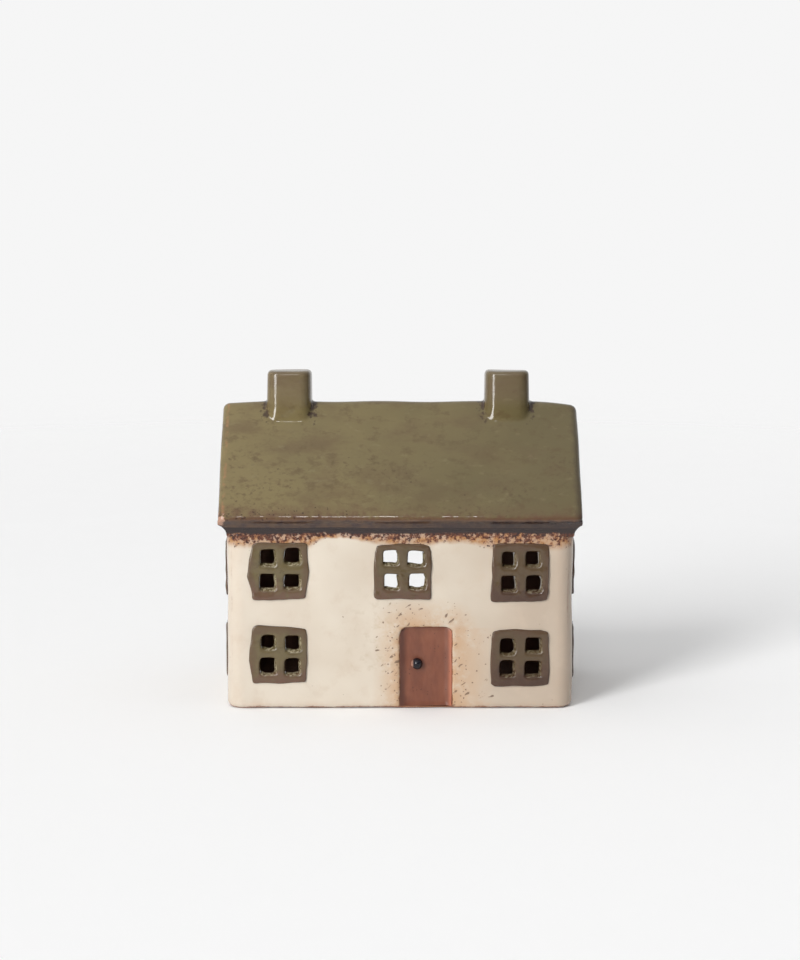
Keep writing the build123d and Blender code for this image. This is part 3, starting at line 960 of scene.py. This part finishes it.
door_mesh = sponged(joined_copy("door_draft", [cad_nodes["front_door"].data]), 0.3 * MM, 3)
hand_wobble(door_mesh, 0.07 * MM, 8 * MM, 31)
door_low, door_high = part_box("front_door")
door_points = mesh_points(door_mesh)
beside = np.minimum(door_points[:, 0] - door_low.x, door_high.x - door_points[:, 0])
near_side = (1 - beside / (3.0 * MM)).clip(0, 1)
near_foot = (1 - (door_points[:, 2] - door_low.z) / (2.0 * MM)).clip(0, 1)
near_head = (1 - (door_high.z - door_points[:, 2]) / (1.2 * MM)).clip(0, 1)
door_rim = np.sqrt(near_side ** 3.4 + (0.5 * near_foot) ** 3.4 + (0.5 * near_head) ** 3.4).clip(0, 1)
door_points[:, 1] -= 1.35 * MM * door_rim * (door_points[:, 1] < door_low.y + 0.7 * MM)
set_points(door_mesh, door_points)
# Where light and shade are painted on the door: above zero on its right side, below zero on its left
keep_mark(door_mesh, "lip", near_side * np.sign(door_points[:, 0] - (door_low.x + door_high.x) / 2))
finished_piece("front_door_glazed", door_mesh, door_glaze())


# Door knob
# A small bead of clay pressed on to the door and glazed nearly black.

def knob_glaze():
    """Glossy blue-black glaze with a faint brown break, and a painted highlight on the left side."""
    finish, tree, shader = new_finish("knob_glaze")
    place = place_mm(tree)
    breaks = fade(tree, cloud(tree, place, 1.2, 3.0), 0.4, 0.7)
    tone = blend_colour(tree, breaks, srgb(14, 15, 26), srgb(34, 26, 26))
    # Painted highlight on the left side of the knob
    painted_knob_highlight = stored(tree, "lit_side")
    tone = tint(tree, tone, fade(tree, painted_knob_highlight, 0.2, 0.8), 0.75, (186, 140, 120))
    set_inputs(tree, shader, {"Base Color": tone, "Roughness": 0.12})
    shader.inputs["Specular IOR Level"].default_value = 0.35
    surface_ripple(tree, shader, cloud(tree, place, 1.4, 2.0), 0.06)
    return finish


knob_mesh = sponged(joined_copy("knob_draft", [cad_nodes["door_knob"].data]), 0.17 * MM, 3)
hand_wobble(knob_mesh, 0.07 * MM, 3 * MM, 41)
knob_low, knob_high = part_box("door_knob")
knob_across = (mesh_points(knob_mesh)[:, 0] - knob_low.x) / (knob_high.x - knob_low.x)
keep_mark(knob_mesh, "lit_side", (1 - knob_across / 0.3).clip(0, 1))
finished_piece("door_knob_glazed", knob_mesh, knob_glaze())


# Roof
# Two thick slabs folded to a ridge and pressed together, with soft pillow edges that sag a
# little at the ends. Olive glaze runs down the slope, thin and brown along every edge.

chimney_names = ("left_chimney", "right_chimney")
ridge_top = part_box("front_roof_slab")[1].z
slope_cos = math.cos(math.radians(45))
slab_thickness = 5 * MM
roof_plane = gable_top + slab_thickness / slope_cos


def roof_glaze():
    """Olive glaze on the slopes, brown over the edges, dark purple-brown on the fascia and underneath, with
    painted shade that darkens it toward the right, at the right end, along the right of the fascia and in
    the creases beside the chimneys, and a painted glint on the worn lower left corner.
    """
    finish, tree, shader = new_finish("roof_glaze")
    place = place_mm(tree)
    tone, dots = olive_tone(tree, place)
    ragged = cloud(tree, place, 3.0, 4.0, 0.6)
    x, y, z = axes(tree, place)
    under = stored(tree, "under")
    nose = fade(tree, calc(tree, "ABSOLUTE", y), 33.5, 37.2)
    fringe = fade(tree, swayed(tree, calc(tree, "ABSOLUTE", y), ragged, 9.0), 32.0, 38.5)
    to_left = fade(tree, x, 10.0, -50.0)
    fringe_share = calc(tree, "MULTIPLY_ADD", to_left, 0.4, 0.3)
    tone = blend_colour(tree, times(tree, fringe, fringe_share), tone, srgb(92, 66, 48))
    swayed_under = swayed(tree, calc(tree, "ADD", under, nose), ragged, 2.4)
    thin = fade(tree, swayed_under, 1.4, 2.3)
    tone = tint(tree, tone, thin, 0.85, (88, 62, 46))
    crust_chance = times(tree, nose, times(tree, to_left, 0.8))
    crust = specks(tree, place, 1.1, 0.2, 0.55, crust_chance)
    tone = tint(tree, tone, crust, 0.7, (48, 32, 28))
    end_line = calc(tree, "ABSOLUTE", calc(tree, "ADD", x, 63.0))
    end_line = times(tree, fade(tree, end_line, 0.9, 0.2), fade(tree, ragged, 0.42, 0.66))
    tone = tint(tree, tone, end_line, 0.6, (150, 106, 74))
    shady = times(tree, fade(tree, swayed(tree, x, ragged, 3.0), 61.5, 64.0), 0.45)
    tone = blend_colour(tree, shady, tone, srgb(62, 52, 42))
    high_up = fade(tree, z, 105.0, 111.0)
    tone = tint(tree, tone, high_up, 0.35, (102, 87, 74))
    # Dark brown in the creases beside the chimney feet: dark glaze specks and painted shade
    crease_specks_and_shade = stored(tree, "chimney_foot")
    crease_specks_and_shade = fade(tree, swayed(tree, crease_specks_and_shade, cloud(tree, place, 1.6, 3.0, 0.6), 1.5), 0.42, 0.7)
    tone = tint(tree, tone, crease_specks_and_shade, 0.85, (52, 36, 28))
    dark = fade(tree, swayed_under, 2.2, 3.5)
    cloudy = fade(tree, cloud(tree, place, 4.0), 0.35, 0.65)
    shade = blend_colour(tree, cloudy, srgb(60, 46, 43), srgb(80, 60, 46))
    # Painted shade: the fascia darker toward the right end
    shade = tint(tree, shade, fade(tree, x, -10.0, 45.0), 0.6, (36, 27, 28))
    tone = blend_colour(tree, dark, tone, shade)
    # The lower left corner: worn glaze showing pale clay, with a painted glint on it
    chip = stored(tree, "chip")
    chip = fade(tree, swayed(tree, chip, cloud(tree, place, 1.8, 4.0, 0.65), 2.2), 0.5, 0.75)
    tone = tint(tree, tone, chip, 0.75, (178, 140, 118))
    tree.links.new(tone, shader.inputs["Base Color"])
    gloss = calc(tree, "MULTIPLY_ADD", high_up, 0.12, 0.08)
    tree.links.new(gloss, shader.inputs["Roughness"])
    ripple = calc(tree, "ADD", cloud(tree, place, 6.0, 2.0), times(tree, dots, -0.1))
    surface_ripple(tree, shader, ripple, 0.25)
    return finish


def chimney_foot(points):
    """1 in the corners beside the feet of the chimneys, fading out over a few millimetres."""
    nearest = np.full(len(points), 1.0)
    for name in chimney_names:
        low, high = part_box(name)
        across = np.minimum(np.abs(points[:, 0] - low.x), np.abs(points[:, 0] - high.x))
        deep = np.abs(points[:, 1]) * 0.35
        rise = np.abs(points[:, 2] + np.abs(points[:, 1]) - roof_plane) * 0.8
        nearest = np.minimum(nearest, np.sqrt(across ** 2 + deep ** 2 + rise ** 2))
    return (1 - nearest / (4.5 * MM)).clip(0, 1)


def stretched_to(points, low, high, axes):
    """The points scaled along some axes to fill a box again, after the sponge has drawn them in."""
    points = points.copy()
    for axis in axes:
        start, end = points[:, axis].min(), points[:, axis].max()
        share = (points[:, axis] - start) / (end - start)
        points[:, axis] = low[axis] + share * (high[axis] - low[axis])
    return points


coil_walls = {
    "front_eaves_coil": "front_wall",
    "back_eaves_coil": "back_wall",
    "left_rake_coil": "left_gable",
    "right_rake_coil": "right_gable",
}
roof_finish = roof_glaze()
roof_parts = ["front_roof_slab", "back_roof_slab", *coil_walls, *chimney_names]
roof_mesh = sponged(joined_copy("roof_draft", [cad_nodes[name].data for name in roof_parts]), 0.5 * MM, 7)
hand_wobble(roof_mesh, 0.2 * MM, 30 * MM, 51)
limit = np.array(cad_box) * (1 - 1e-4)
roof_points = stretched_to(mesh_points(roof_mesh), limit[0], limit[1], (0, 1))
roof_points[:, 0] = (roof_points[:, 0] * 1.004).clip(limit[0][0], limit[1][0])

# The ridge sags toward its ends, more at the right
sag_height = 14 * MM
sag_start, sag_length = 44 * MM, 21 * MM
to_ridge = ((roof_points[:, 2] - (ridge_top - sag_height)) / sag_height).clip(0, 1)
to_end = ((np.abs(roof_points[:, 0]) - sag_start) / sag_length).clip(0, 1)
sag = np.where(roof_points[:, 0] > 0, 1.5 * MM, 0.7 * MM)
roof_points[:, 2] -= sag * to_ridge * to_end ** 2

# The chimneys draw in at their corners and dome on top
clear_height = 4 * MM
chimney_height = 11 * MM
dome_middle, dome_half = 3 * MM, 7 * MM
clear_of_roof = ((roof_points[:, 2] + np.abs(roof_points[:, 1]) - roof_plane) / clear_height).clip(0, 1)
for name in chimney_names:
    block_low, block_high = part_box(name)
    half_block = (block_high - block_low) / 2
    from_block = roof_points[:, 0] - (block_low.x + block_high.x) / 2
    pillowed = clear_of_roof * (np.abs(from_block) < half_block.x + 2 * MM)
    roof_points[:, 0] -= pillowed * from_block * 0.07 * (roof_points[:, 1] / half_block.y) ** 2
    roof_points[:, 1] -= pillowed * roof_points[:, 1] * 0.05 * (from_block / half_block.x) ** 2
above_ridge = ((roof_points[:, 2] - ridge_top) / chimney_height).clip(0, 1)
roof_points[:, 2] -= above_ridge * 0.5 * ((roof_points[:, 1] + dome_middle) / dome_half) ** 2 * MM

# The nose at the eaves droops
droop_start, droop = 26 * MM, 1.0 * MM
fascia_height, fascia_depth = 68 * MM, 3.4 * MM
to_eaves = ((np.abs(roof_points[:, 1]) - droop_start) / (limit[1][1] - droop_start)).clip(0, 1) ** 2
above_fascia = ((roof_points[:, 2] - fascia_height) / fascia_depth).clip(0, 1)
roof_points[:, 2] -= droop * to_eaves * above_fascia ** 2 * (3 - 2 * above_fascia)

# The coils flare out at the roof ends, where a finger pressed them against the gables
flare_width, flare_reach = 6 * MM, 2.6 * MM
wall_reach = np.minimum(np.abs(roof_points[:, 1]), half_depth)
from_joint = (roof_points[:, 2] - gable_top + wall_reach) / MM
flare = np.where(from_joint > 0, 1 - from_joint / 1.5, (1 + from_joint / 4.8).clip(0, 1) ** 2).clip(0, 1)
flare *= ((np.abs(roof_points[:, 0]) - half_width + flare_width) / flare_width).clip(0, 1) ** 2
roof_points[:, 0] += np.sign(roof_points[:, 0]) * flare_reach * flare
set_points(roof_mesh, roof_points.clip(limit[0], limit[1]))


def chimney_knife():
    """A block round each chimney, closed below by the slopes of the roof a little under its surface."""
    shape = bmesh.new()
    for name in chimney_names:
        low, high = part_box(name)
        room = 2 * MM
        reach = high.y + room
        ridge = roof_plane - 1.6 * MM
        top = 130 * MM
        outline = ((-reach, ridge - reach), (0, ridge), (reach, ridge - reach), (reach, top), (-reach, top))
        ends = [[shape.verts.new((x, y, z)) for y, z in outline] for x in (low.x - room, high.x + room)]
        shape.faces.new(ends[0])
        shape.faces.new(ends[1])
        for step in range(len(outline)):
            after = (step + 1) % len(outline)
            shape.faces.new((ends[0][step], ends[0][after], ends[1][after], ends[1][step]))
    bmesh.ops.recalc_face_normals(shape, faces=shape.faces[:])
    return loose_object("chimney_knife", mesh_from(shape, "chimney_knife"))


def cut_by(mesh, knife, operation):
    """The mesh with a closed block cut out of it, or what lies inside that block."""
    piece = loose_object("cut_draft", mesh.copy())
    add_cut(piece, operation, knife)
    cut_mesh = evaluated_mesh(piece)
    shape = bmesh.new()
    shape.from_mesh(cut_mesh)
    for edge in shape.edges:
        edge.smooth = edge.calc_face_angle(0.0) < 0.65
    shape.to_mesh(cut_mesh)
    shape.free()
    return cut_mesh


def mark_roof(mesh):
    """Stores what the roof's glaze reads: depth under the slope, the chimney feet and one worn corner that
    also carries a painted glint.
    """
    points = mesh_points(mesh)
    keep_mark(mesh, "under", (roof_plane - np.abs(points[:, 1]) - points[:, 2]) * slope_cos / MM)
    keep_mark(mesh, "chimney_foot", chimney_foot(points))
    corner = np.array((-64.5, -37.0, 69.0)) * MM
    gap = np.linalg.norm((points - corner) * np.array((1.0, 0.55, 0.55)), axis=1)
    keep_mark(mesh, "chip", (1 - gap / (4.4 * MM)).clip(0, 1))


knife = chimney_knife()
chimney_mesh = cut_by(roof_mesh, knife, "INTERSECT")
roof_mesh = cut_by(roof_mesh, knife, "DIFFERENCE")
bpy.data.objects.remove(knife)
mark_roof(roof_mesh)

# The cut between slab and coil lies a little under the slab, clear of its uneven underside
cut_level = Vector((0, 0, gable_top - 0.7 * MM))
for name, side in (("front_roof_slab", 1), ("back_roof_slab", -1)):
    slab_cuts = [(Vector((0, 0, 0)), Vector((0, side, 0))), (cut_level, Vector((0, side, -1)).normalized())]
    slab_mesh = cut_piece(roof_mesh, name + "_glazed", slab_cuts)
    finished_piece(name + "_glazed", slab_mesh, roof_finish)


# Coils under the roof
# Thin rolls of clay pressed into the corner between roof and walls with a finger, along the
# eaves and up the rakes, so roof and coil run into one cove and the glaze pools dark in it.

coil_halves = []
for side in (1, -1):
    half_cuts = [(Vector((0, 0, 0)), Vector((0, side, 0))), (cut_level, Vector((0, -side, 1)).normalized())]
    coil_halves.append(cut_piece(roof_mesh, "coil_half", half_cuts))
for name, wall in coil_walls.items():
    coil_parts = [cut_piece(half, name + "_half", mitre_cuts(wall)) for half in coil_halves]
    shape = bmesh.new()
    for part in coil_parts:
        shape.from_mesh(part)
    finished_piece(name + "_glazed", mesh_from(shape, name + "_glazed"), wall_finish)


# Chimneys
# Two solid blocks of clay set astride the ridge and luted on with a smear of slip, tapered by
# hand and closed on top. They were dipped with the roof, so the same olive glaze covers them.

for name in chimney_names:
    turned_way = 1 if name == "left_chimney" else -1
    block_mesh = cut_piece(chimney_mesh, name + "_glazed", [(Vector((0, 0, 0)), Vector((turned_way, 0, 0)))])
    mark_roof(block_mesh)
    finished_piece(name + "_glazed", block_mesh, roof_finish)


# Tealight
# A pressed aluminium cup with fluted sides and a turned lip, filled with white wax. A cotton
# wick stands in a tinned sustainer at the bottom. It is lifted out through the arch.

def cup_metal():
    """Thin pressed aluminium, brushed round by the tool."""
    finish, tree, shader = new_finish("cup_metal")
    place = place_mm(tree)
    rings = cloud(tree, stretched(tree, place, 0.3, 0.3, 6.0), 2.0, 3.0)
    tone = blend_colour(tree, rings, (0.72, 0.73, 0.75, 1.0), (0.86, 0.86, 0.87, 1.0))
    tree.links.new(tone, shader.inputs["Base Color"])
    shader.inputs["Metallic"].default_value = 1.0
    tree.links.new(fade(tree, rings, -0.6, 3.0), shader.inputs["Roughness"])
    return finish


def white_wax():
    """White paraffin, faintly clouded."""
    finish, tree, shader = new_finish("white_wax")
    place = place_mm(tree)
    tone = blend_colour(tree, cloud(tree, place, 5.0), srgb(240, 236, 226), srgb(228, 222, 208))
    set_inputs(tree, shader, {"Base Color": tone, "Roughness": 0.38})
    shader.inputs["Subsurface Weight"].default_value = 0.4
    shader.inputs["Subsurface Radius"].default_value = (0.004, 0.003, 0.002)
    surface_ripple(tree, shader, cloud(tree, place, 2.5), 0.1)
    return finish


def wick_cotton():
    """Waxed braided cotton."""
    finish, tree, shader = new_finish("wick_cotton")
    place = place_mm(tree)
    threads = cloud(tree, stretched(tree, place, 1.0, 1.0, 0.4), 0.5)
    tone = blend_colour(tree, threads, srgb(214, 206, 188), srgb(240, 236, 224))
    set_inputs(tree, shader, {"Base Color": tone, "Roughness": 0.7})
    surface_ripple(tree, shader, threads, 0.1)
    return finish


def turned_mesh(name, profile, turns, depth_at):
    """A closed shape turned from a profile of radius and height, with its radius changed by depth_at."""
    angles = np.linspace(0, 2 * math.pi, turns, endpoint=False)
    shape = bmesh.new()
    rings = []
    for radius, height in profile:
        swell = radius + depth_at(angles, radius, height)
        circle = [(r * math.cos(a), r * math.sin(a), height) for r, a in zip(swell, angles)]
        rings.append([shape.verts.new(point) for point in circle])
    for ring_a, ring_b in zip(rings, rings[1:] + rings[:1]):
        for step in range(turns):
            after = (step + 1) % turns
            shape.faces.new((ring_a[step], ring_a[after], ring_b[after], ring_b[step]))
    bmesh.ops.recalc_face_normals(shape, faces=shape.faces[:])
    return mesh_from(shape, name)


cup_low, cup_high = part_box("tealight_cup")
cup_radius = cup_high.x
cup_wall = 0.4 * MM
flutes = 56


def flute_depth(angles, radius, height):
    """Shallow flutes on the side of the cup, none on its floor or lip."""
    up = (height - cup_low.z) / (cup_high.z - cup_low.z)
    share = np.clip(min(up - 0.12, 0.9 - up) * 8, 0, 1) * (radius > 0.9 * cup_radius)
    return -0.09 * MM * share * (1 + np.cos(flutes * angles)) / 2


tiny = 0.2 * MM
side_heights = np.linspace(cup_low.z + 1.2 * MM, cup_high.z - 0.6 * MM, 9)
side_inset = 0.75 * MM
cup_profile = [
    (tiny, cup_low.z),
    (cup_radius - 2.4 * MM, cup_low.z),
    (cup_radius - 1.8 * MM, cup_low.z + 0.3 * MM),
    *((cup_radius - side_inset, height) for height in side_heights),
    (cup_radius - 0.25 * MM, cup_high.z - 0.5 * MM),
    (cup_radius - 0.02 * MM, cup_high.z - 0.3 * MM),
    (cup_radius - 0.3 * MM, cup_high.z - 0.03 * MM),
    (cup_radius - 0.9 * MM, cup_high.z - 0.1 * MM),
    *((cup_radius - side_inset - cup_wall, height) for height in side_heights[::-1]),
    (cup_radius - 2.2 * MM, cup_low.z + cup_wall),
    (tiny, cup_low.z + cup_wall),
]
cup_mesh = turned_mesh("tealight_cup_fluted", cup_profile, flutes * 6, flute_depth)
finished_piece("tealight_cup_fluted", cup_mesh, cup_metal(), "tealight_cup", "tealight")

wax_mesh = sponged(joined_copy("wax_draft", [cad_nodes["tealight_wax"].data]), 0.3 * MM, 2)
hand_wobble(wax_mesh, 0.05 * MM, 6 * MM, 81)
finished_piece("tealight_wax_cast", wax_mesh, white_wax(), "tealight_wax", "tealight")

wick_low, wick_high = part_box("tealight_wick")
wick_radius = (wick_high.x - wick_low.x) / 2


def braid_depth(angles, radius, height):
    """Three strands that wind round each other."""
    turn = (height - wick_low.z) / (2.4 * MM) * 2 * math.pi
    return -0.16 * radius * (1 + np.cos(3 * angles - turn)) / 2


wick_heights = np.linspace(wick_low.z + 0.05 * MM, wick_high.z - 0.15 * MM, 60)
wick_profile = [(0.1 * wick_radius, wick_low.z)]
wick_profile += [(wick_radius, height) for height in wick_heights]
wick_profile += [(0.6 * wick_radius, wick_high.z - 0.04 * MM), (0.1 * wick_radius, wick_high.z)]
wick_mesh = turned_mesh("tealight_wick_braided", wick_profile, 24, braid_depth)
finished_piece("tealight_wick_braided", wick_mesh, wick_cotton(), "tealight_wick", "tealight")

cad_nodes["wick_sustainer"].data.materials.clear()
cad_nodes["wick_sustainer"].data.materials.append(bpy.data.materials["cup_metal"])


# Floor, light and camera
# A pale sheet under a softbox at the front left, with even light all round.

def studio_floor():
    """Matt white card that fades into the backdrop some way off."""
    finish, tree, shader = new_finish("studio_floor")
    tree.nodes.remove(shader)
    place = add_node(tree, "ShaderNodeTexCoord").outputs["Object"]
    grain = cloud(tree, place, 0.02, 2.0)
    tone = blend_colour(tree, grain, (0.956, 0.956, 0.956, 1.0), (0.968, 0.968, 0.968, 1.0))
    card = add_node(tree, "ShaderNodeBsdfDiffuse", {"Color": tone})
    far = add_node(tree, "ShaderNodeVectorMath", {0: place}, operation="LENGTH").outputs["Value"]
    gone = fade(tree, far, 0.35, 1.0)
    clear = add_node(tree, "ShaderNodeBsdfTransparent")
    mixed = add_node(tree, "ShaderNodeMixShader", {0: gone, 1: card.outputs[0], 2: clear.outputs[0]})
    tree.links.new(mixed.outputs[0], tree.nodes["Material Output"].inputs["Surface"])
    return finish


sheet = bmesh.new()
bmesh.ops.create_circle(sheet, cap_ends=True, radius=1.2, segments=96)
floor_mesh = mesh_from(sheet, "studio_floor")
floor_mesh.materials.append(studio_floor())
floor = loose_object("studio_floor", floor_mesh)

world = bpy.data.worlds.new("studio")
bpy.context.scene.world = world
world.use_nodes = True
air = world.node_tree
look = add_node(air, "ShaderNodeTexCoord").outputs["Generated"]
look_x, look_y, look_z = axes(air, look)
overhead = calc(air, "MULTIPLY_ADD", calc(air, "MAXIMUM", look_z, 0.0), 0.6, 0.19)
room = calc(air, "MAXIMUM", calc(air, "SUBTRACT", overhead, times(air, look_x, 0.13)), 0.04)

# A tall softbox that stands on the floor at the front left
box_turn = math.radians(38)
box_sin = math.sin(box_turn)
box_cos = math.cos(box_turn)
toward = calc(air, "ADD", times(air, look_x, -box_sin), times(air, look_y, -box_cos))
across_box = calc(air, "ADD", times(air, look_x, box_cos), times(air, look_y, -box_sin))
panel = fade(air, calc(air, "ABSOLUTE", across_box), 0.17, 0.12)
panel = times(air, panel, calc(air, "GREATER_THAN", toward, 0.0))
panel = times(air, panel, fade(air, look_z, 0.74, 0.64))
panel = times(air, panel, fade(air, look_z, -0.22, -0.14))
lit = calc(air, "MULTIPLY_ADD", panel, 12.8, room)
# The pale backdrop, as the camera sees it and as the glaze mirrors it from behind
ray = add_node(air, "ShaderNodeLightPath").outputs
mirrored = times(air, ray["Is Glossy Ray"], fade(air, look_y, 0.1, 0.6))
seen = calc(air, "MAXIMUM", ray["Is Camera Ray"], mirrored)
strength = add_node(air, "ShaderNodeMix", {0: seen, 2: lit, 3: 0.92}, data_type="FLOAT").outputs[0]
sky = air.nodes["Background"]
sky.inputs["Color"].default_value = (1.0, 1.0, 1.0, 1.0)
air.links.new(strength, sky.inputs["Strength"])

# A small lamp above the camera, for the glint along the eaves
glint_data = bpy.data.lights.new("glint_lamp", "AREA")
glint_data.shape = "RECTANGLE"
glint_data.size = 0.1
glint_data.size_y = 0.08
glint_data.energy = 0.5
glint = bpy.data.objects.new("glint_lamp", glint_data)
bpy.context.scene.collection.objects.link(glint)
glint.location = (-0.045, -0.75, 0.75)
glint.rotation_euler = (Vector((0, 0, 0.06)) - glint.location).to_track_quat("-Z", "Y").to_euler()

lens = bpy.data.cameras.new("camera")
lens.lens = 92.4
lens.sensor_width = 36
camera = bpy.data.objects.new("camera", lens)
bpy.context.scene.collection.objects.link(camera)
camera.location = (0, -0.9, 0.216)
camera.rotation_euler = (math.radians(81.3), 0, 0)
bpy.context.scene.camera = camera
bpy.context.scene.view_settings.view_transform = "Standard"
